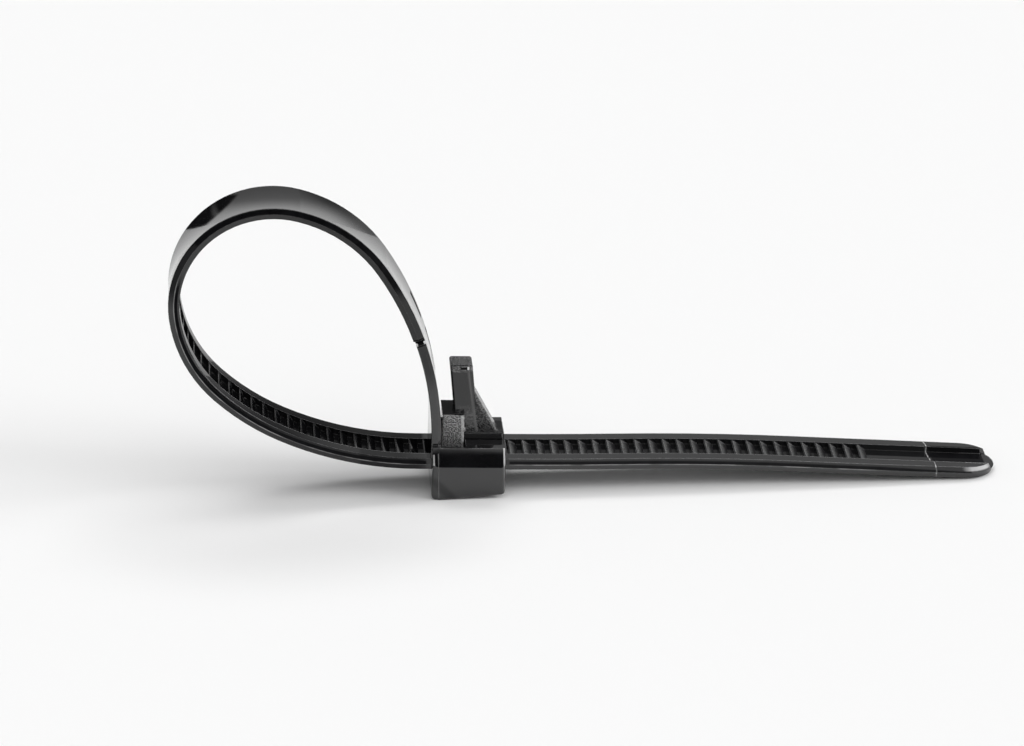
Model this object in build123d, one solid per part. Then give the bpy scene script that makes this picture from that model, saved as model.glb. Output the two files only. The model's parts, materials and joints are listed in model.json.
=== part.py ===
from build123d import *
from math import atan2, cos, degrees, pi, radians, sin, tan
import os

os.makedirs("parts", exist_ok=True)

# Releasable cable tie, one nylon moulding, closed into a loop.
# Worked out in the head's own frame: X runs along the passage towards the tail, Z up the root of
# the strap, Y across the strap. The origin of that frame is where the two centrelines cross.

# ---- strap section
width = 7.2                 # across the strap
thickness = 1.2             # rail top to smooth back
rail_width = 1.65
web = 0.55                  # material left under the channel
root_thickness = 1.05
side_bevel = 0.17           # how far each side leans in from its parting line to the back
rail_bevel = 0.25           # and from the parting line to the rail top
# ---- teeth
pitch = 1.525
crest_drop = 0.1            # tooth crest below the rail top
crest_land = 0.13
ramp_length = 0.95
teeth_start = 22.0          # along the strap from the root
last_tooth = 14.9           # from the nose back to the last crest
# ---- the run of the strap
smooth_root = 14.0          # plain length above the head, before the rails begin
channel_start = 19.0
nick_length = 0.5
nick_depth = 0.3
groove_start = 15.0         # short groove in the smooth back, beside the far edge
groove_length = 2.7
groove_width = 0.22
groove_depth = 0.13
groove_offset = 2.45
bends = [(34.0, 35.0), (15.4, 41.0), (10.45, 112.0), (14.9, 39.5), (25.5, 18.5), (35.5, 24.0)]
tail_length = 61.1          # passage centre to nose
tail_bows = [(526.0, 12.0), (-323.0, 20.0), (1250.0, 9.0)]
nose_start_width = 7.0
nose_taper = 9.0            # length over which the tail narrows before the nose
# ---- head
head_left = -0.32
head_right = 7.55
head_wall = 1.15            # each side of the passage
head_top = 2.2
head_depth = 3.6            # below the strap centreline at the loop end
head_slope = 5.6            # rise of the underside towards the tail, degrees
side_top = 0.2              # the upright part of a side ends here, the shoulder begins
shoulder_start = 12.0       # the shoulder breaks inwards by this angle, then curves
shoulder_lean = 0.62        # how far the shoulder falls inwards by the top
shoulder_round = 0.12
corner = 0.46
low_round = 0.38
collar = 0.66               # loop end of the head, a touch narrower than the rest
collar_inset = 0.12
bridge = 0.6                # where the wall above the passage ends
window_width = 3.8          # slot in the roof that the pawl arm lies in
# ---- clearances
side_gap = 0.15
face_gap = 0.11
mesh_gap = 0.07             # pawl teeth in the rack
arm_gap = 0.15              # arm in its slot, block ahead of the roof
# ---- pawl
hinge_gap = 0.16
hinge_web = 0.55
block_end = 3.1
block_width = 4.4
block_top = 5.05
block_under = 1.2
arm_end = 7.45
arm_top = 2.95
arm_under = 1.2
arm_round = 0.3
pawl_start = 3.4
lever_width = 2.8
lever_top = 10.6
lever_depth = 2.43
lever_foot = 4.67           # tail side of the lever where it meets the arm
lever_lean = 6.2
lever_round = 0.3
gusset = 2.0
gusset_foot = 6.72
gusset_top = 7.4
gusset_round = 0.12

half_t = thickness / 2
half_w = width / 2
channel = width - 2 * rail_width
floor_n = web - half_t      # channel floor, measured from the centreline towards the teeth
crest_n = half_t - crest_drop
root_n = root_thickness - half_t


# ---- centreline: straight up out of the head, round the loop, straight back through the head
def bend_shift():
    x = 0.0
    z = 0.0
    turn = pi / 2
    for radius, sweep in bends:
        x += radius * (sin(turn + radians(sweep)) - sin(turn))
        z += radius * (cos(turn) - cos(turn + radians(sweep)))
        turn += radians(sweep)
    return x, z


shift_x, shift_z = bend_shift()
root_straight = -shift_z
entry_straight = -shift_x
through_head = head_right + 0.25
loop_length = root_straight + entry_straight + sum(r * radians(a) for r, a in bends)
nose_straight = tail_length - through_head - sum(length for _, length in tail_bows)

# each run: radius (0 is straight, minus turns away from the teeth) and length
runs = [(0.0, root_straight)]
runs += [(r, r * radians(a)) for r, a in bends]
runs += [(0.0, entry_straight + through_head)]
runs += tail_bows
nose_s = sum(length for _, length in runs)


def station(s):
    # point and heading of the centreline at a length s from the root
    x = 0.0
    z = 0.0
    turn = pi / 2
    for radius, length in runs:
        step = min(length, s)
        if radius == 0.0:
            x += step * cos(turn)
            z += step * sin(turn)
        else:
            bend = step / radius
            x += radius * (sin(turn + bend) - sin(turn))
            z += radius * (cos(turn) - cos(turn + bend))
            turn += bend
        s -= step
        if s <= 1e-9:
            return x, z, turn
    return x + s * cos(turn), z + s * sin(turn), turn


def off(s, n):
    # point standing n off the centreline, towards the teeth
    x, z, turn = station(s)
    return x - n * sin(turn), z + n * cos(turn)


def section_plane(s):
    x, z, turn = station(s)
    return Plane(origin=(x, 0, z), x_dir=(0, 1, 0), z_dir=(cos(turn), 0, sin(turn)))


def lay(section, start, end):
    # the section carried along the strap from start to end
    pieces = []
    begun = 0.0
    for radius, length in runs:
        first = max(start, begun)
        last = min(end, begun + length)
        if last - first > 1e-6:
            x, z, turn = station(first)
            plane = section_plane(first)
            face = plane * section
            if radius == 0.0:
                pieces.append(extrude(face, amount=last - first, dir=(cos(turn), 0, sin(turn))))
            else:
                hub = (x - radius * sin(turn), 0, z + radius * cos(turn))
                way = -1 if radius > 0 else 1
                angle = degrees((last - first) / abs(radius))
                pieces.append(revolve(face, axis=Axis(hub, (0, way, 0)), revolution_arc=angle))
        begun += length
    return pieces


def polygon(points):
    return make_face(Polyline(*points, close=True))


# plain section of the root: level with the smooth back, a little thinner, broken edges
edge = 0.12
back_edge = 0.33
root_section = polygon([
    (-half_w + side_bevel, -half_t),
    (half_w - side_bevel, -half_t),
    (half_w, -half_t + back_edge),
    (half_w, root_n - edge),
    (half_w - edge, root_n),
    (-half_w + edge, root_n),
    (-half_w, root_n - edge),
    (-half_w, -half_t + back_edge),
])
# railed section: sides lean in above and below the parting line, a channel between the rails
inner = half_w - rail_width
solid_section = polygon([
    (-half_w + side_bevel, -half_t),
    (half_w - side_bevel, -half_t),
    (half_w, 0),
    (half_w - rail_bevel, half_t),
    (-half_w + rail_bevel, half_t),
    (-half_w, 0),
])
rail_section = polygon([
    (-half_w + side_bevel, -half_t),
    (half_w - side_bevel, -half_t),
    (half_w, 0),
    (half_w - rail_bevel, half_t),
    (inner, half_t),
    (inner, floor_n),
    (-inner, floor_n),
    (-inner, half_t),
    (-half_w + rail_bevel, half_t),
    (-half_w, 0),
])

# a nick across each side, where the plain root ends
nick_section = polygon([
    (-half_w + nick_depth, -half_t),
    (half_w - nick_depth, -half_t),
    (half_w - nick_depth, root_n),
    (-half_w + nick_depth, root_n),
])

# the root starts above the passage
passage_top = half_t + face_gap
nick_end = smooth_root + nick_length
pieces = lay(root_section, passage_top, smooth_root)
pieces += lay(nick_section, smooth_root, nick_end)
pieces += lay(solid_section, nick_end, channel_start)
pieces += lay(rail_section, channel_start, nose_s)

# ---- rounded nose: narrows, then a full round, the side bevels carried round it
nose_r = nose_start_width / 2
nose_plane = Plane(
    origin=(station(nose_s)[0], 0, station(nose_s)[1]),
    x_dir=(cos(station(nose_s)[2]), 0, sin(station(nose_s)[2])),
    z_dir=(-sin(station(nose_s)[2]), 0, cos(station(nose_s)[2])),
)
round_x = nose_straight - nose_r
outline = make_face([
    Polyline((-1, -half_w), (round_x - nose_taper, -half_w), (round_x, -nose_r)),
    ThreePointArc((round_x, -nose_r), (round_x + nose_r, 0), (round_x, nose_r)),
    Polyline((round_x, nose_r), (round_x - nose_taper, half_w), (-1, half_w), (-1, -half_w)),
])
nose = extrude(outline, amount=half_t, taper=degrees(atan2(rail_bevel, half_t)))
nose += extrude(outline, amount=-half_t, taper=degrees(atan2(side_bevel, half_t)))
nose &= Pos(50, 0, 0) * Box(100, 20, 4)
nose -= Pos(50, 0, floor_n + 1) * Box(102, 2 * inner, 2)
pieces.append(nose_plane.location * nose)

strap = pieces[0].fuse(*pieces[1:])
groove_s = groove_start + groove_length / 2
strap -= section_plane(groove_s).location * Pos(groove_offset, -half_t, 0) * Box(
    groove_width, 2 * groove_depth, groove_length)

# ---- rack of teeth: upright face towards the loop, ramp falling towards the nose
sunk = floor_n - 0.15
reach = ramp_length * (crest_n - sunk) / (crest_n - floor_n)
teeth_end = nose_s + nose_straight - last_tooth
count = int((teeth_end - teeth_start) / pitch)
rack = []
for i in range(count + 1):
    s = teeth_end - (count - i) * pitch
    rack += [off(s, sunk), off(s, crest_n), off(s + crest_land, crest_n), off(s + reach, sunk)]
under = [off(teeth_end - (count - i) * pitch, sunk - 0.15) for i in range(count + 1)]
rack.append(off(teeth_end + reach, sunk - 0.15))
rack += reversed(under)
teeth = extrude(Plane.XZ * polygon(rack), amount=inner + 0.1, both=True)

# ---- head: side outline, end outline and plan, each drawn once and crossed
passage_side = half_w + side_gap
half_head = passage_side + head_wall


def underside(x):
    return -head_depth + (x - head_left) * tan(radians(head_slope))


def head_block(start, end, inset):
    side = Plane.XZ * polygon([
        (head_left, -head_depth),
        (head_right, underside(head_right)),
        (head_right, head_top),
        (head_left, head_top),
    ])
    low = side.vertices().sort_by(Axis.Z)[:2]
    side = fillet(low, low_round)
    y = half_head - inset
    base = -head_depth - 1
    crown = y - shoulder_lean
    rise = cos(radians(shoulder_start))
    inward = sin(radians(shoulder_start))
    front = make_face([
        Polyline((-y, side_top), (-y, base), (y, base), (y, side_top)),
        TangentArc((y, side_top), (crown, head_top), tangent=(-inward, rise)),
        Line((crown, head_top), (-crown, head_top)),
        TangentArc((-y, side_top), (-crown, head_top), tangent=(inward, rise)),
    ])
    front = Plane.YZ * fillet(front.vertices().group_by(Axis.Y)[-1], shoulder_round)
    plan = Pos((head_left + head_right) / 2, 0) * RectangleRounded(
        head_right - head_left, 2 * y, corner)
    body = extrude(side, amount=half_head, both=True)
    body &= extrude(front, amount=head_right + 1, both=True)
    body &= Pos(0, 0, -5) * extrude(plan, amount=10)
    middle = (start + end) / 2
    return body & Pos(middle, 0, 0) * Box(end - start, 20, 20)


def box(x0, x1, y0, y1, z0, z1):
    return Pos((x0 + x1) / 2, (y0 + y1) / 2, (z0 + z1) / 2) * Box(x1 - x0, y1 - y0, z1 - z0)


seam = head_left + collar
head = head_block(head_left - 1, seam, collar_inset) + head_block(seam, head_right + 1, 0)
passage_floor = -half_t - face_gap
far = head_right + 1
head -= box(head_left - 1, far, -passage_side, passage_side, passage_floor, passage_top)
roof_start = block_end + arm_gap
head -= box(bridge, roof_start, -passage_side, passage_side, 0, head_top + 1)
head -= box(bridge, far, -window_width / 2, window_width / 2, 0, head_top + 1)

# ---- pawl unit: block on its hinge web, arm, lever post and gusset
block = box(bridge + hinge_gap, block_end, -block_width / 2, block_width / 2, block_under, block_top)
block = fillet(block.edges().filter_by(Axis.Z), 0.15)
hinge_top = head_top - 0.2
hinge = box(bridge - 0.3, bridge + hinge_gap + 0.3, -block_width / 2 + 0.3,
            block_width / 2 - 0.3, hinge_top - hinge_web, hinge_top)
arm_width = window_width - 2 * arm_gap
arm_start = block_end - 1
arm_plan = Pos((arm_start + arm_end) / 2, 0) * Rectangle(arm_end - arm_start, arm_width)
arm_plan = fillet(arm_plan.vertices().group_by(Axis.X)[-1], arm_round)
arm = Pos(0, 0, arm_under) * extrude(arm_plan, amount=arm_top - arm_under)
arm = chamfer(arm.faces().sort_by(Axis.Z)[-1].edges().sort_by(Axis.X)[1:], 0.1)


def lever_x(z):
    # tail side of the lever at a height
    return lever_foot - (z - arm_top) * tan(radians(lever_lean))


lever_foot_z = arm_top - 0.4
lever = extrude(Plane.XZ * polygon([
    (lever_x(lever_foot_z) - lever_depth, lever_foot_z),
    (lever_x(lever_foot_z), lever_foot_z),
    (lever_x(lever_top), lever_top),
    (lever_x(lever_top) - lever_depth, lever_top),
]), amount=lever_width / 2, both=True)
upright = lever.edges().filter_by(lambda e: e.length > 5)
lever = fillet(upright, lever_round)
lever = fillet(lever.faces().sort_by(Axis.Z)[-1].edges(), 0.25)
brace = extrude(Plane.XZ * polygon([
    (lever_x(arm_top) - 1, arm_top - 0.4),
    (gusset_foot + 0.4 * (gusset_foot - lever_foot) / (gusset_top - arm_top), arm_top - 0.4),
    (lever_x(gusset_top), gusset_top),
    (lever_x(gusset_top) - 1, gusset_top),
]), amount=gusset / 2, both=True)
slope = brace.faces().sort_by(Axis.X)[-1].edges().filter_by(lambda e: e.length > 3)
brace = fillet(slope, gusset_round)
nib = Pos(block_end, -block_width / 2 + 0.2, 3.45) * Sphere(0.27)

# pawl teeth, the rack's own shape turned over and kept clear of it by the mesh gap
nose_x = station(teeth_end)[0]
crests = [nose_x - k * pitch for k in range(int((nose_x - pawl_start) / pitch), 0, -1)]
crests = [x for x in crests if pawl_start + pitch < x < arm_end]
biting = []
for x in crests:
    biting += [
        (x - pitch + crest_land + mesh_gap, crest_n + mesh_gap),
        (x - pitch + ramp_length + mesh_gap, floor_n + mesh_gap),
        (x - mesh_gap, floor_n + mesh_gap),
        (x - mesh_gap, crest_n + mesh_gap),
    ]
heel = arm_under + 0.3
biting += [(crests[-1] + 0.3, heel), (pawl_start, heel), (pawl_start, crest_n + mesh_gap + 0.4)]
pawl_bite = extrude(Plane.XZ * polygon(biting), amount=arm_width / 2, both=True)
pawl = block.fuse(hinge, arm, lever, brace, nib, pawl_bite)

tie = strap.fuse(teeth, head, pawl)

# ---- set down: lower loop-end corner of the head and the underside of the nose on the table
heel_x = head_left + low_round
heel_z = -head_depth + 0.02
toe_x, toe_z = off(nose_s + nose_straight - 0.8, -half_t)
rest = degrees(atan2(toe_z - heel_z, toe_x - heel_x))
tie = Rot(0, rest, 0) * tie
bounds = tie.bounding_box()
tie = Pos(-(bounds.min.X + bounds.max.X) / 2, 0, -bounds.min.Z) * tie
export_step(tie, "parts/cable_tie.step")
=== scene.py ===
import json
import math

import bpy
from mathutils import Matrix, Vector

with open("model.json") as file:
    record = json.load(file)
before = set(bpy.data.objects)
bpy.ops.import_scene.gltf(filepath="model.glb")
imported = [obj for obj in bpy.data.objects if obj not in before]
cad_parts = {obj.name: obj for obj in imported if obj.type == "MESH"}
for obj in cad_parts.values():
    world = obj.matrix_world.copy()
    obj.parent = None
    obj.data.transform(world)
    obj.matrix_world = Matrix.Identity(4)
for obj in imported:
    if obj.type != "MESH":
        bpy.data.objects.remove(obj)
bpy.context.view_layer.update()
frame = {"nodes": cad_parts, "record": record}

MM = 0.001
tie = frame["nodes"]["cable_tie"]

# Places on the tie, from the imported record
mounts = {m["name"]: m for m in frame["record"]["mounts"]}
loop_centre = Vector(mounts["bundle_seat"]["pos_m"])
nose_tip = Vector(mounts["free_tail"]["pos_m"])
# where the two ends of the strap cross, inside the head: this far back from the nose, and up
passage = nose_tip + Vector((-61.012, 0.0, 3.037)) * MM

# ---------------------------------------------------------------- values
# Lengths are in millimetres: x and z from the passage, y from the middle of the strap.
EDGE_ROUND, SIDE_ROUND = 0.09, 0.22   # moulded edges, and the rounder sides of the strap
SIDE_STARTS = (3.2, 3.3)              # from the middle of the strap, where its side begins
SIDE_ENDS = (3.7, 3.8)
HEAD_ALONG, HEAD_TOP = (-0.9, 8.0), (2.4, 2.6)
NOSE_STARTS = (57.4, 57.8)
NOSE_ROUND = 3.5
LAST_CREST, PITCH = 46.18, 1.525
POST_FOOT, POST_LEAN = 2.95, 0.1086   # the lever's foot, and how far it leans per rise
CREASE, CREASE_SLANT = 54.0, 0.06     # stress mark across the tail
STEP = (3.45, 3.583)                  # painted shade in a band along the side of the strap
PARTING = (3.583, 3.65)               # painted highlight on the parting line beside it
DISH = 0.4                            # a bent strap dishes across its width
RAIL_LEAN, NICK_LEAN, STEP_LEAN = 0.16, 0.27, 0.3
CREST_PHASE = 60.02                   # whole teeth, to stay above zero, and a little before a crest

# boxes on the tie: x from, to; y from, to; z from, to; soft border
PLACES = {
    "pawl_block": (0.4, 3.35, -2.6, -1.9, 0.9, 5.2, 0.12),
    "web_faces": (2.2, 7.2, -1.6, -0.7, 2.6, 5.6, 0.5),
    "rack": (8.0, 48.0, -2.1, 2.1, -2.2, 0.6, 0.12),
    "post_top": (-2.0, 5.0, -1.6, 1.6, 9.7, 11.5, 0.1),
    "gusset_slope": (3.2, 7.1, -1.1, 1.1, 2.85, 7.6, 0.05),
    "post_arris": (3.0, 5.0, -1.6, -1.05, 2.9, 10.3, 0.1),
    "block_edge": (2.93, 3.2, -2.35, -1.95, 1.0, 4.95, 0.03),
    "collar_seam": (0.29, 0.38, -5.2, -4.3, -3.4, 1.6, 0.02),
    "right_corner": (7.30, 7.47, -4.95, -4.1, -2.9, 2.0, 0.04),
    "left_corner": (-0.22, -0.06, -4.8, -4.1, 0.35, 1.5, 0.05),
    "plain_root": (-2.4, 1.6, -6.0, 6.0, 0.9, 14.4, 0.12),
    "slot_shade": (2.95, 3.62, -1.7, -1.2, 9.98, 10.22, 0.05),
    "slot_glint": (3.66, 3.86, -1.7, -1.2, 9.95, 10.3, 0.04),
    "wall_tops": (-0.6, 7.9, -5.5, -3.9, 1.5, 2.6, 0.1),
    "post": (-1.0, 7.5, -1.7, 1.7, 3.0, 12.0, 0.3),
    "gusset": (4.3, 7.2, -1.3, 1.3, 3.0, 7.4, 0.1),
    "block_top": (0.5, 3.3, -2.15, 2.4, 4.98, 5.4, 0.03),
    "past_crease": (54.3, 60.0, -0.95, 2.2, -3.4, 0.35, 0.1),
    "by_head": (-8.0, -0.9, -4.0, -1.9, -3.0, 2.5, 0.3),
}
# short lines on the tie: x, z of one end; x, z of the other
LINES = {
    "gusset_edge": (4.18, 7.4, 6.72, 2.95),
    "nick": (-0.95, 14.25, -1.9, 13.95),
    "nick_right": (-0.95, 14.1, -0.97, 14.1),
    "nick_left": (-1.83, 13.8, -1.85, 13.8),
    "upper_groove": (-1.164, 14.99, -2.16, 17.55),
    "lower_groove": (-0.56, 13.05, 0.69, 5.0),
    "painted_collar_shade": (0.0, -1.6, 2.1, -3.8),
}
# how pale each mark is
PAINT = {
    "speckle": 0.40, "frost_and_sheen": 0.17, "gusset": 0.22, "post_arris": 0.06, "block_edge": 0.5,
    "head_glint": 0.62, "parting_highlight": 0.30, "nose": 0.5, "slot_shade": 0.001, "slot_glint": 0.7,
    "nick_glint": 0.8, "edge_highlight": 0.22, "crease": 0.42,
}
WEB_SPECKLE, TOP_SPECKLE = 0.22, 0.4  # share of the pawl block's speckle on the other places
EDGE_HIGHLIGHT, PARTING_SHARE = 0.6, 0.7
# specular level of the plain nylon, the least it falls to, and what each place takes off it to
# paint shade there
SHINE, LEAST_SHINE = 0.5, 0.02
SHADE_CUTS = {
    "strap_side": (0.14, 0.22), "upper_band": 0.28, "post": 0.14, "gusset": 0.2,
    "inner_face": 0.24, "channel": 0.43, "black": 0.48, "slots": 0.45, "by_head": 0.14,
    "painted_collar_shade": 0.17,
}
NYLON_IOR = 1.72

FLOOR_HALF, FLOOR_Z = 3.0, -0.02 * MM
PAPER, PAPER_ROUGHNESS, PAPER_SHINE = 0.86, 0.85, 0.1

# brightness of the soft boxes, and of the dim wall and the room
ABOVE, RIGHT, LEFT, FRONT, REAR = 0.9, 4.6, 1.2, 1.1, 4.6
WALL, ROOM = 0.6, 0.01

AZIMUTH, ELEVATION = -3.83, 23.0      # degrees
DISTANCE, SIDE_STEP, RISE = 474.14 * MM, 8.49 * MM, 8.39 * MM
SENSOR, LENS, CLIP = 36.0, 154.69, 0.02


# ---------------------------------------------------------------- node helpers
def grey(value):
    return (value, value, value, 1.0)


class Tree:
    """Short names for the nodes of one shader tree."""

    def __init__(self, tree):
        self.tree = tree
        self.tree.nodes.clear()

    def node(self, kind, **values):
        made = self.tree.nodes.new(kind)
        for name, value in values.items():
            setattr(made, name, value)
        return made

    def link(self, source, target):
        if isinstance(source, (int, float, tuple)):
            target.default_value = source
        else:
            self.tree.links.new(source, target)

    def math(self, operation, a, b=0.0, clamp=False):
        made = self.node("ShaderNodeMath", operation=operation, use_clamp=clamp)
        self.link(a, made.inputs[0])
        self.link(b, made.inputs[1])
        return made.outputs[0]

    def fold(self, operation, first, others):
        for other in others:
            first = self.math(operation, first, other)
        return first

    def times(self, first, *others):
        return self.fold("MULTIPLY", first, others)

    def plus(self, first, *others):
        return self.fold("ADD", first, others)

    def most(self, first, *others):
        return self.fold("MAXIMUM", first, others)

    def less(self, a, b):
        return self.math("SUBTRACT", a, b)

    def rest(self, value):
        return self.math("SUBTRACT", 1.0, value)

    def size(self, value):
        return self.math("ABSOLUTE", value)

    def ramp(self, value, low, high, out_low=0.0, out_high=1.0, smooth=True):
        kind = "SMOOTHSTEP" if smooth else "LINEAR"
        made = self.node("ShaderNodeMapRange", interpolation_type=kind)
        self.link(value, made.inputs["Value"])
        limits = {"From Min": low, "From Max": high, "To Min": out_low, "To Max": out_high}
        for name, number in limits.items():
            made.inputs[name].default_value = number
        return made.outputs["Result"]

    def rise(self, value, low, high, out_low=0.0, out_high=1.0):
        # a ramp over a length in millimetres
        return self.ramp(value, low * MM, high * MM, out_low, out_high)

    def fall(self, value, low, high):
        return self.rise(value, low, high, 1.0, 0.0)

    def slab(self, value, low, high, soft):
        low, high, soft = low * MM, high * MM, soft * MM
        up = self.ramp(value, low - soft, low + soft)
        return self.times(up, self.ramp(value, high - soft, high + soft, 1.0, 0.0))

    def mix(self, factor, a, b):
        made = self.node("ShaderNodeMix", data_type="RGBA")
        self.link(factor, made.inputs["Factor"])
        self.link(a, made.inputs[6])
        self.link(b, made.inputs[7])
        return made.outputs[2]

    def blend(self, factor, a, b):
        made = self.node("ShaderNodeMix", data_type="VECTOR")
        self.link(factor, made.inputs["Factor"])
        self.link(a, made.inputs[4])
        self.link(b, made.inputs[5])
        return made.outputs[1]

    def noise(self, vector, scale, detail=2.0, roughness=0.5):
        made = self.node("ShaderNodeTexNoise")
        self.link(vector, made.inputs["Vector"])
        made.inputs["Scale"].default_value = scale
        made.inputs["Detail"].default_value = detail
        made.inputs["Roughness"].default_value = roughness
        return made.outputs["Fac"]

    def vector(self, operation, a, b=None, scale=None):
        made = self.node("ShaderNodeVectorMath", operation=operation)
        self.link(a, made.inputs[0])
        if b is not None:
            self.link(b, made.inputs[1])
        if scale is not None:
            self.link(scale, made.inputs["Scale"])
        return made.outputs[1] if operation in ("LENGTH", "DOT_PRODUCT") else made.outputs[0]

    def dot(self, a, b):
        return self.vector("DOT_PRODUCT", a, b)

    def unit(self, vector):
        return self.vector("NORMALIZE", vector)

    def split(self, vector):
        made = self.node("ShaderNodeSeparateXYZ")
        self.link(vector, made.inputs[0])
        return made.outputs

    def join(self, x=0.0, y=0.0, z=0.0):
        made = self.node("ShaderNodeCombineXYZ")
        for value, socket in zip((x, y, z), made.inputs):
            self.link(value, socket)
        return made.outputs[0]

    def bevel(self, radius, samples):
        made = self.node("ShaderNodeBevel", samples=samples)
        made.inputs["Radius"].default_value = radius * MM
        return made.outputs[0]


# ---------------------------------------------------------------- black nylon
def nylon():
    material = bpy.data.materials.new("moulded_black_nylon")
    material.use_nodes = True
    t = Tree(material.node_tree)
    place = t.node("ShaderNodeTexCoord").outputs["Object"]
    x, y, z = t.split(place)
    px = t.less(x, passage.x)
    pz = t.less(z, passage.z)
    across = t.size(y)

    def within(name):
        x0, x1, y0, y1, z0, z1, soft = PLACES[name]
        return t.times(t.slab(px, x0, x1, soft), t.slab(y, y0, y1, soft), t.slab(pz, z0, z1, soft))

    def from_line(name):
        # distance in the XZ plane from a short line, in metres
        x0, z0, x1, z1 = LINES[name]
        here = t.join(t.less(px, x0 * MM), 0.0, t.less(pz, z0 * MM))
        along = Vector(((x1 - x0) * MM, 0.0, (z1 - z0) * MM))
        share = t.dot(here, tuple(along / along.length_squared))
        share = t.math("ADD", share, 0.0, clamp=True)
        foot = t.vector("SCALE", tuple(along), scale=share)
        return t.vector("LENGTH", t.vector("SUBTRACT", here, foot))

    # edges: rounded in the mould, with painted highlights along them
    bevel = t.bevel(EDGE_ROUND, 6)
    by_side = t.times(t.rise(across, *SIDE_STARTS), t.fall(across, *SIDE_ENDS))
    in_head = t.times(t.slab(px, *HEAD_ALONG, 0.05), t.fall(pz, *HEAD_TOP))
    by_side = t.times(by_side, t.rest(in_head))
    by_side = t.most(by_side, t.rise(px, *NOSE_STARTS))
    rounded = t.unit(t.blend(by_side, bevel, t.bevel(SIDE_ROUND, 8)))
    face = t.node("ShaderNodeNewGeometry").outputs["True Normal"]
    fx, fy, fz = t.split(face)
    sides = t.ramp(t.size(fy), 0.7, 0.85)
    turned = t.rest(t.dot(bevel, face))
    open_air = t.node("ShaderNodeAmbientOcclusion", samples=6)
    open_air.inputs["Distance"].default_value = 0.35 * MM
    exposed = t.ramp(open_air.outputs["AO"], 0.62, 0.8)
    edge = t.times(t.ramp(turned, 0.012, 0.09), exposed)

    # spark-eroded faces of the pawl block, fainter on the lever's foot and its top
    on_ramps = t.times(within("rack"), t.ramp(fx, 0.35, 0.45), t.ramp(fx, 0.75, 0.9, 1.0, 0.0))
    eroded = t.most(within("pawl_block"), t.times(within("web_faces"), WEB_SPECKLE),
                    t.times(within("post_top"), TOP_SPECKLE))

    grain = t.noise(place, 5200.0, 3.0, 0.65)
    pits = t.noise(place, 11500.0, 2.0, 0.6)
    soft_peel = t.noise(place, 900.0, 3.0, 0.5)
    waves = t.noise(place, 140.0, 2.0, 0.4)
    fine = t.noise(place, 6800.0, 3.0, 0.7)

    # colour: near black, a little uneven, dusty where the texture catches it
    base = t.mix(t.ramp(soft_peel, 0.3, 0.7), (0.0035, 0.0035, 0.004, 1), (0.006, 0.006, 0.0068, 1))

    def paint(mask, name):
        return t.mix(mask, base, grey(PAINT[name]))

    base = paint(t.times(t.ramp(fine, 0.46, 0.57), eroded), "speckle")
    # ramps of the rack: frosted, with a painted highlight fading down from each crest into painted
    # shade
    phase = t.math("DIVIDE", t.less(px, LAST_CREST * MM), PITCH * MM)
    phase = t.math("FRACT", t.plus(phase, CREST_PHASE))
    frost_and_sheen = t.times(t.ramp(phase, 0.1, 0.62, 1.0, 0.12), on_ramps)
    base = paint(t.times(frost_and_sheen, t.ramp(fine, 0.44, 0.56, 0.1, 1.0)), "frost_and_sheen")
    # painted highlights on the sloped edge of the gusset and on the arrises of the pawl
    sloped = t.times(t.ramp(fz, 0.2, 0.35), t.ramp(fz, 0.6, 0.75, 1.0, 0.0))
    gusset_highlight = t.times(within("gusset_slope"), t.ramp(fx, 0.6, 0.8), sloped)
    by_slope = t.times(t.rise(from_line("gusset_edge"), 0.2, 0.42, 0.75, 0.0),
                       t.slab(y, -1.1, -0.8, 0.05))
    gusset_highlight = t.most(gusset_highlight, by_slope)
    base = paint(t.times(gusset_highlight, t.ramp(fine, 0.38, 0.6, 0.2, 1.0)), "gusset")
    # painted highlight along the lever's arris
    leaned = t.plus(px, t.times(t.less(pz, POST_FOOT * MM), POST_LEAN))
    base = paint(t.times(t.slab(leaned, 4.40, 4.66, 0.08), within("post_arris")), "post_arris")
    # painted highlight along the pawl block's edge
    base = paint(t.times(within("block_edge"), t.ramp(fine, 0.3, 0.6, 0.4, 1.0)), "block_edge")
    # head: painted highlights, a pale line where the collar begins and glints on both upright
    # corners
    seam_highlight = t.times(within("collar_seam"), t.rise(pz, 0.0, 0.7, 0.10, 0.42))
    corner = t.times(within("right_corner"), t.rise(pz, -0.1, 0.5, 0.14, 1.0))
    glint = t.most(seam_highlight, corner, within("left_corner"))
    glint = t.times(glint, t.ramp(t.noise(place, 900.0, 1.0), 0.3, 0.55, 0.55, 1.0))
    base = paint(glint, "head_glint")

    # which way the loop's middle lies, and the side of the strap that carries the teeth
    spoke = t.vector("SUBTRACT", t.join(x, 0.0, z), (loop_centre.x, 0.0, loop_centre.z))
    radius = t.vector("LENGTH", spoke)
    spoke = t.unit(spoke)
    on_loop = t.most(t.fall(px, -1.2, -0.7), t.rise(pz, 11.2, 12.0))
    off_loop = t.rest(on_loop)
    outwards = t.dot(spoke, face)
    inwards = t.times(outwards, -1.0)
    teeth_side = t.most(t.times(t.ramp(inwards, 0.03, 0.12), on_loop),
                        t.times(t.ramp(fz, 0.03, 0.12), off_loop))
    teeth_side = t.times(teeth_side, sides)
    railed = t.times(t.rest(within("plain_root")), t.rest(in_head))
    # painted shade in a band along the strap's sides, and a painted highlight on the parting line,
    # not on the loop's upper part
    flank = t.times(t.rise(px, -9.0, -6.0), t.rise(pz, 4.0, 6.0))
    low_part = t.rest(t.most(flank, t.rise(pz, 20.0, 23.0)))
    side_band_shade = t.times(teeth_side, railed, t.slab(across, *STEP, 0.03), low_part)
    parting_highlight = t.times(t.slab(across, *PARTING, 0.006), railed, t.rise(px, 51.0, 46.0))
    parting_highlight = t.times(parting_highlight, t.ramp(t.noise(place, 300.0, 2.0), 0.4, 0.6, 0.25, 1.0), low_part)
    base = paint(t.times(parting_highlight, PARTING_SHARE), "parting_highlight")
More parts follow.
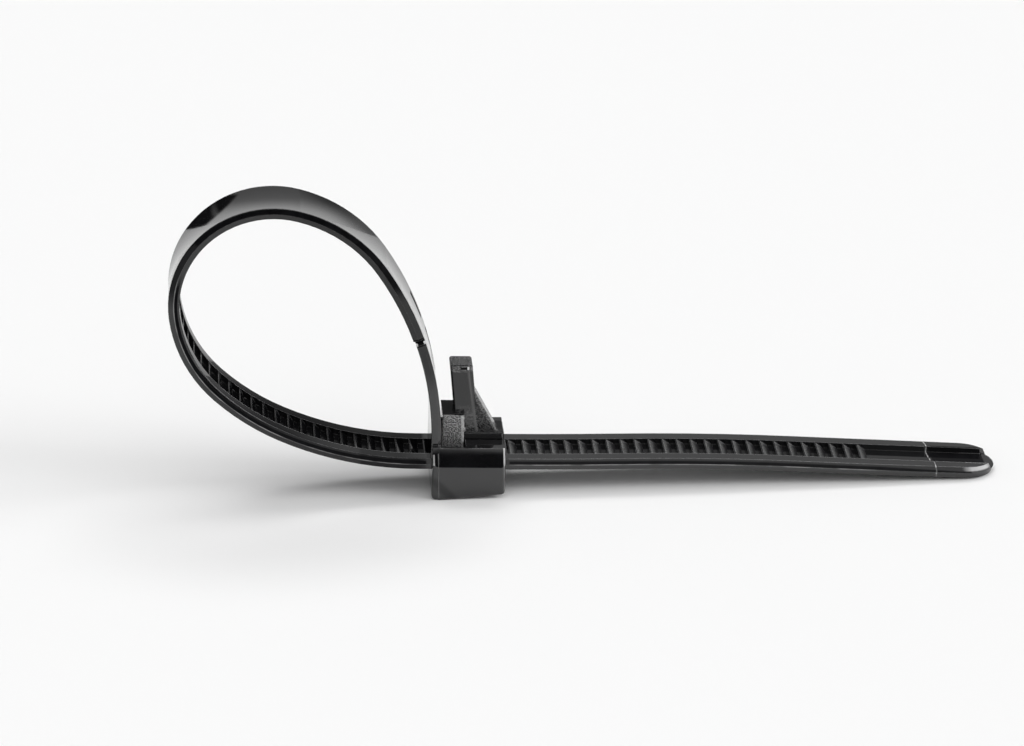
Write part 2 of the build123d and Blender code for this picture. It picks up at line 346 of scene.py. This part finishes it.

    # painted highlight on the arris round the near side of the nose
    nose_x = t.less(x, nose_tip.x - NOSE_ROUND * MM)
    ring = t.math("SQRT", t.plus(t.times(nose_x, nose_x), t.times(y, y)))
    turn = t.math("ARCTAN2", y, nose_x)
    gleam = t.times(t.slab(ring, 3.24, 3.42, 0.04),
                    t.ramp(turn, math.radians(-100), math.radians(-78)),
                    t.ramp(turn, math.radians(-48), math.radians(-30), 1.0, 0.0),
                    t.ramp(fz, 0.1, 0.3))
    base = paint(gleam, "nose")
    # moulding flaw under the lever's top: painted shade for a slot, with a painted glint at its end
    slot_shade = t.times(within("slot_shade"), t.ramp(fy, -0.9, -0.6, 1.0, 0.0))
    slot_glint = t.times(within("slot_glint"), t.ramp(fy, -0.7, -0.4, 1.0, 0.0))
    base = paint(slot_shade, "slot_shade")
    base = paint(slot_glint, "slot_glint")
    # root of the strap: painted shade in a nick with a painted glint at each end, and painted shade
    # in grooves by the far edge
    near_side = t.fall(y, -3.3, -3.1)
    nick = t.times(t.fall(from_line("nick"), 0.38, 0.46), near_side)
    dots = t.math("MINIMUM", from_line("nick_right"), from_line("nick_left"))
    base = paint(t.times(t.fall(dots, 0.12, 0.18), near_side), "nick_glint")
    groove = t.most(
        t.times(t.fall(from_line("upper_groove"), 0.12, 0.2), t.slab(y, 1.5, 2.7, 0.04)),
        t.times(t.fall(from_line("lower_groove"), 0.2, 0.35), t.slab(y, 2.2, 3.4, 0.05)))

    # painted highlights along exposed edges, not along the top of the head's walls
    edge_highlight = t.times(edge, t.ramp(t.noise(place, 1500.0, 2.0), 0.35, 0.62, 0.35, 1.0),
                   t.rest(within("wall_tops")))
    base = paint(t.times(edge_highlight, EDGE_HIGHLIGHT), "edge_highlight")

    # stress mark across the tail near the tip, broken here and there
    wander = t.times(t.less(t.noise(place, 700.0, 2.0), 0.5), 0.35 * MM)
    run = t.plus(px, t.times(y, CREASE_SLANT), wander)
    crease = t.fall(t.size(t.less(run, CREASE * MM)), 0.03, 0.09)
    broken = t.ramp(t.noise(place, 1600.0, 2.0), 0.42, 0.55)
    crease = t.times(crease, t.most(broken, 0.25))
    base = paint(crease, "crease")

    # handling scuffs, short lines along the strap
    stretched = t.node("ShaderNodeMapping")
    t.link(place, stretched.inputs["Vector"])
    stretched.inputs["Scale"].default_value = (0.12, 1.0, 1.0)
    hair = t.noise(stretched.outputs[0], 5200.0, 2.0, 0.7)
    scuff = t.times(t.ramp(hair, 0.66, 0.74), t.ramp(t.noise(place, 260.0, 1.0), 0.55, 0.7))

    roughness = t.ramp(soft_peel, 0.25, 0.75, 0.055, 0.085)
    roughness = t.plus(roughness, t.times(t.most(eroded, on_ramps), 0.3))
    roughness = t.most(roughness, t.times(groove, 0.9))
    roughness = t.plus(roughness, t.times(scuff, 0.14))
    roughness = t.math("ADD", roughness, t.times(crease, 0.4), clamp=True)

    # a bent strap dishes across its width, more where it is bent more tightly
    outward = t.dot(spoke, rounded)
    side = t.less(t.ramp(outward, 0.72, 0.9), t.ramp(t.times(outward, -1.0), 0.72, 0.9))
    dish = t.math("DIVIDE", t.times(y, -DISH), radius)
    dish = t.times(dish, side, on_loop)
    far_rail = t.times(t.ramp(inwards, 0.5, 0.7), on_loop, t.rise(y, 1.8, 2.0))
    dish = t.less(dish, t.times(far_rail, RAIL_LEAN))
    # the nose is a true round: its side faces point straight out from its centre
    around = t.unit(t.join(nose_x, y))
    tier = t.join(z=t.ramp(fz, -0.5, 0.5, -0.3, 0.3, smooth=False))
    round_side = t.unit(t.vector("ADD", around, tier))
    on_nose = t.times(t.rise(nose_x, 0.0, 0.2), t.ramp(t.size(fz), 0.6, 0.7, 1.0, 0.0),
                      t.rise(ring, 3.0, 3.1))
    rounded = t.blend(on_nose, rounded, round_side)
    sunk = t.plus(t.times(nick, NICK_LEAN), t.times(side_band_shade, STEP_LEAN))
    normal = t.unit(t.vector("ADD", rounded, t.join(0.0, dish, sunk)))

    # relief, in millimetres
    height = t.plus(t.times(waves, 0.006), t.times(soft_peel, 0.0008), t.times(pits, 0.00025))
    rough_height = t.plus(t.times(grain, 0.10), t.times(pits, 0.03))
    height = t.plus(height, t.times(rough_height, eroded))
    height = t.less(height, t.times(crease, 0.02))
    bump = t.node("ShaderNodeBump")
    bump.inputs["Distance"].default_value = MM
    bump.inputs["Strength"].default_value = 1.0
    t.link(height, bump.inputs["Height"])
    t.link(normal, bump.inputs["Normal"])

    # painted shade: these fixed places on the tie have their reflection cut, standing in for shade
    # and dark reflections; they do not follow the view
    shine = SHINE

    def cut_for_shade(mask, amount):
        return t.less(shine, t.times(mask, amount))

    # painted shade on the strap's sides where it curves, and on a band of the loop's upper part
    strap_side = t.times(sides, t.rise(across, *SIDE_STARTS), t.rest(in_head))
    curved = t.most(t.fall(px, -2.0, -0.5), t.rise(pz, 8.0, 11.0))
    shine = cut_for_shade(t.times(strap_side, curved), t.rise(px, -20.0, -12.0, *SHADE_CUTS["strap_side"]))
    back_half = t.times(t.ramp(outwards, 0.1, 0.2), t.rise(pz, 18.3, 21.0))
    shine = cut_for_shade(t.times(strap_side, back_half, on_loop), SHADE_CUTS["upper_band"])
    # painted shade on the lever's post and on the gusset
    shine = cut_for_shade(within("post"), SHADE_CUTS["post"])
    shine = cut_for_shade(within("gusset"), SHADE_CUTS["gusset"])
    # painted shade on the loop's inner face near the post
    inner_face = t.most(t.times(t.ramp(fz, 0.2, 0.4), off_loop),
                        t.times(t.ramp(inwards, 0.2, 0.4), on_loop))
    by_post = t.times(t.rise(px, -4.0, 0.0, SHADE_CUTS["inner_face"], 0.0), t.rest(sides))
    shine = cut_for_shade(t.times(inner_face, on_loop), by_post)
    # painted shade in the rack gaps, fainter in the smooth channel beyond the last crest
    channel = t.times(inner_face, t.fall(across, 1.9, 1.97), railed,
                      t.rise(px, 46.1, 46.6, 1.0, 0.55), t.fall(px, 57.0, 57.6))
    shine = cut_for_shade(channel, SHADE_CUTS["channel"])
    # painted shade on the top of the pawl block and on the channel floor beyond the crease
    beyond = t.times(within("past_crease"), t.ramp(fz, 0.8, 0.95))
    shine = cut_for_shade(t.most(within("block_top"), beyond), SHADE_CUTS["black"])
    # painted shade in the grooves, the nick, the side band and the slot
    shine = cut_for_shade(t.most(groove, nick, side_band_shade, slot_shade), SHADE_CUTS["slots"])
    # painted shade on the strap's side by the head, and a painted soft shadow across the collar's
    # near face
    shine = cut_for_shade(within("by_head"), SHADE_CUTS["by_head"])
    painted_collar_shade = t.rise(from_line("painted_collar_shade"), 0.15, 0.75, SHADE_CUTS["painted_collar_shade"], 0.0)
    shine = cut_for_shade(painted_collar_shade, t.slab(px, -0.8, 7.6, 0.1))
    shine = t.most(shine, LEAST_SHINE)

    shader = t.node("ShaderNodeBsdfPrincipled")
    t.link(base, shader.inputs["Base Color"])
    t.link(shine, shader.inputs["Specular IOR Level"])
    t.link(roughness, shader.inputs["Roughness"])
    t.link(bump.outputs[0], shader.inputs["Normal"])
    shader.inputs["IOR"].default_value = NYLON_IOR
    out = t.node("ShaderNodeOutputMaterial")
    t.link(shader.outputs[0], out.inputs[0])
    return material


tie.data.materials.clear()
tie.data.materials.append(nylon())

# ---------------------------------------------------------------- floor
mesh = bpy.data.meshes.new("floor")
corners = [(-1, -1), (1, -1), (1, 1), (-1, 1)]
points = [(a * FLOOR_HALF, b * FLOOR_HALF, FLOOR_Z) for a, b in corners]
mesh.from_pydata(points, [], [(0, 1, 2, 3)])
floor = bpy.data.objects.new("floor", mesh)
bpy.context.scene.collection.objects.link(floor)

paper = bpy.data.materials.new("white_sweep")
paper.use_nodes = True
t = Tree(paper.node_tree)
shader = t.node("ShaderNodeBsdfPrincipled")
shader.inputs["Base Color"].default_value = grey(PAPER)
shader.inputs["Roughness"].default_value = PAPER_ROUGHNESS
shader.inputs["Specular IOR Level"].default_value = PAPER_SHINE
out = t.node("ShaderNodeOutputMaterial")
t.link(shader.outputs[0], out.inputs[0])
mesh.materials.append(paper)

# ---------------------------------------------------------------- studio
world = bpy.data.worlds.new("studio")
bpy.context.scene.world = world
world.use_nodes = True
t = Tree(world.node_tree)
direction = t.node("ShaderNodeTexCoord").outputs["Generated"]
dx, dy, dz = t.split(direction)
azimuth_of = t.math("ARCTAN2", dx, dy)
height_of = t.math("ARCSINE", dz)


def degree_ramp(value, low, high, out_low=0.0, out_high=1.0):
    return t.ramp(value, math.radians(low), math.radians(high), out_low, out_high)


def band(value, low, high, soft, level=1.0):
    # one raised stretch of a direction, in degrees
    low, high, soft = (math.radians(v) for v in (low, high, soft))
    up = t.ramp(value, low - soft, low + soft)
    down = t.ramp(value, high - soft, high + soft, level, 0.0)
    return t.times(up, down)


# a white card behind, brightest just above the table
card = degree_ramp(height_of, 5, 21, 0.85, 0.36)
card = t.times(card, degree_ramp(height_of, 36, 47, 1.0, 0.02))
facing = band(azimuth_of, -75, 75, 15)
# black flags: one on the left with a leaning streak of light in it, a broad one on the right
leaning = t.plus(azimuth_of, t.times(height_of, 0.9))
left_flag = t.times(band(azimuth_of, -36, -16.5, 1.2), band(height_of, -3, 26, 1.5))
streak = t.times(band(leaning, -12.5, -9.5, 1.5, 0.22), band(height_of, 6, 20, 3))
left_flag = t.math("SUBTRACT", left_flag, streak, clamp=True)
right_flag = t.times(band(azimuth_of, 19, 60, 7, 0.66), band(height_of, -2, 40, 1.5))
back = t.times(card, facing, t.rest(t.most(left_flag, right_flag)))
# the camera's side: dark just above the table, a dim wall over it, a soft box over the wall
wall = t.times(t.ramp(dy, -0.15, -0.35), band(height_of, 16, 40, 2.5, WALL))
front = t.times(t.ramp(dy, -0.1, -0.3), band(height_of, 41, 60, 3))
# the key: a wide box behind and above, which throws the shadow forwards
rear = t.times(band(azimuth_of, -55, 55, 8), band(height_of, 50, 63, 2))
# soft boxes overhead, low on the right and low on the left
above = degree_ramp(height_of, 56, 62)
right_box = t.times(band(azimuth_of, 80, 122, 6), band(height_of, 4, 46, 2))
left_box = t.times(band(azimuth_of, -112, -82, 5), band(height_of, 3, 30, 2))
light = t.plus(back, wall)
boxes = ((front, FRONT), (rear, REAR), (above, ABOVE), (right_box, RIGHT), (left_box, LEFT))
for box, level in boxes:
    light = t.plus(light, t.times(box, level))
light = t.plus(light, ROOM)
background = t.node("ShaderNodeBackground")
colour = t.node("ShaderNodeCombineColor")
for socket in colour.inputs:
    t.link(light, socket)
t.link(colour.outputs[0], background.inputs["Color"])
out = t.node("ShaderNodeOutputWorld")
t.link(background.outputs[0], out.inputs[0])

# ---------------------------------------------------------------- camera
azimuth, elevation = math.radians(AZIMUTH), math.radians(ELEVATION)
level = math.cos(elevation)
look = Vector((-math.sin(azimuth) * level, math.cos(azimuth) * level, -math.sin(elevation)))
right = Vector((math.cos(azimuth), math.sin(azimuth), 0.0))
up = right.cross(look)
camera = bpy.data.objects.new("camera", bpy.data.cameras.new("camera"))
bpy.context.scene.collection.objects.link(camera)
camera.data.sensor_width = SENSOR
camera.data.lens = LENS
camera.data.clip_start = CLIP
spot = passage - look * DISTANCE + right * SIDE_STEP + up * RISE
camera.matrix_world = Matrix.Translation(spot) @ Matrix((right, up, -look)).transposed().to_4x4()
bpy.context.scene.camera = camera

bpy.context.scene.view_settings.view_transform = "Standard"
